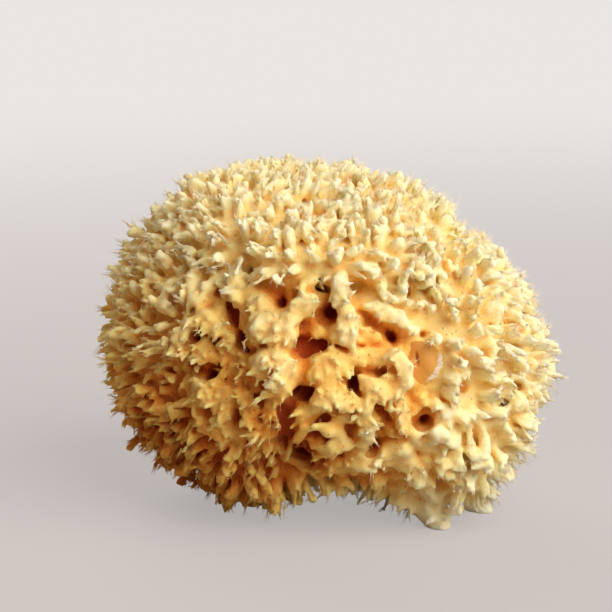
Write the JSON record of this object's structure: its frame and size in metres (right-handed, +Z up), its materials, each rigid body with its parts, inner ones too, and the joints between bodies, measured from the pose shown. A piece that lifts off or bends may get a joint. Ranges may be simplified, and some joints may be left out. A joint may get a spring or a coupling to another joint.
{
  "type": "natural sea sponge",
  "caption": "Rounded natural sea sponge for bathing: soft tufted lobes over a porous core, open canals on the front, small feet underneath; squeezes down and springs back.",
  "frame": {"origin": "on the floor under the middle of the sponge's box", "axes": "+X to the right along the longest extent, -Y to the front that shows the canals, +Z up"},
  "size_m": [0.1124, 0.0968, 0.0868],
  "materials": {
    "pale_fibre": "matte tufted fibre, cream at the tips and honey yellow below",
    "deep_fibre": "matte fibre in shade, orange brown",
    "shell": "smooth thin shell, tan with a pale broken edge"
  },
  "bodies": {
    "base": {"lower_core": "deep_fibre", "front_lower_lobe": "pale_fibre", "left_lower_lobe": "pale_fibre", "right_lower_lobe": "pale_fibre", "rear_right_lower_lobe": "pale_fibre", "rear_left_lower_lobe": "pale_fibre", "front_right_lobe": "pale_fibre", "rear_right_lobe": "pale_fibre", "rear_left_lobe": "pale_fibre", "front_left_lower_lobe": "pale_fibre", "front_foot": "pale_fibre", "right_foot": "pale_fibre", "left_foot": "pale_fibre", "rear_foot": "pale_fibre", "rear_left_foot": "pale_fibre"},
    "crown": {"upper_core": "deep_fibre", "crown_lobe": "pale_fibre", "front_upper_lobe": "pale_fibre", "left_upper_lobe": "pale_fibre", "right_upper_lobe": "pale_fibre", "rear_right_upper_lobe": "pale_fibre", "rear_left_upper_lobe": "pale_fibre", "front_left_upper_lobe": "pale_fibre", "shell_flake": "shell"}
  },
  "joints": [
    {"name": "squeeze", "type": "slide", "parent": "base", "child": "crown", "axis": [0, 0, -1], "range_m": [0, 0.032], "stiffness_N_per_m": 300, "springref_m": -0.002, "deforming": ["lower_core", "front_lower_lobe", "left_lower_lobe", "right_lower_lobe", "rear_right_lower_lobe", "rear_left_lower_lobe", "front_right_lobe", "rear_right_lobe", "rear_left_lobe", "front_left_lower_lobe", "front_foot", "right_foot", "left_foot", "rear_foot", "rear_left_foot"]}
  ]
}
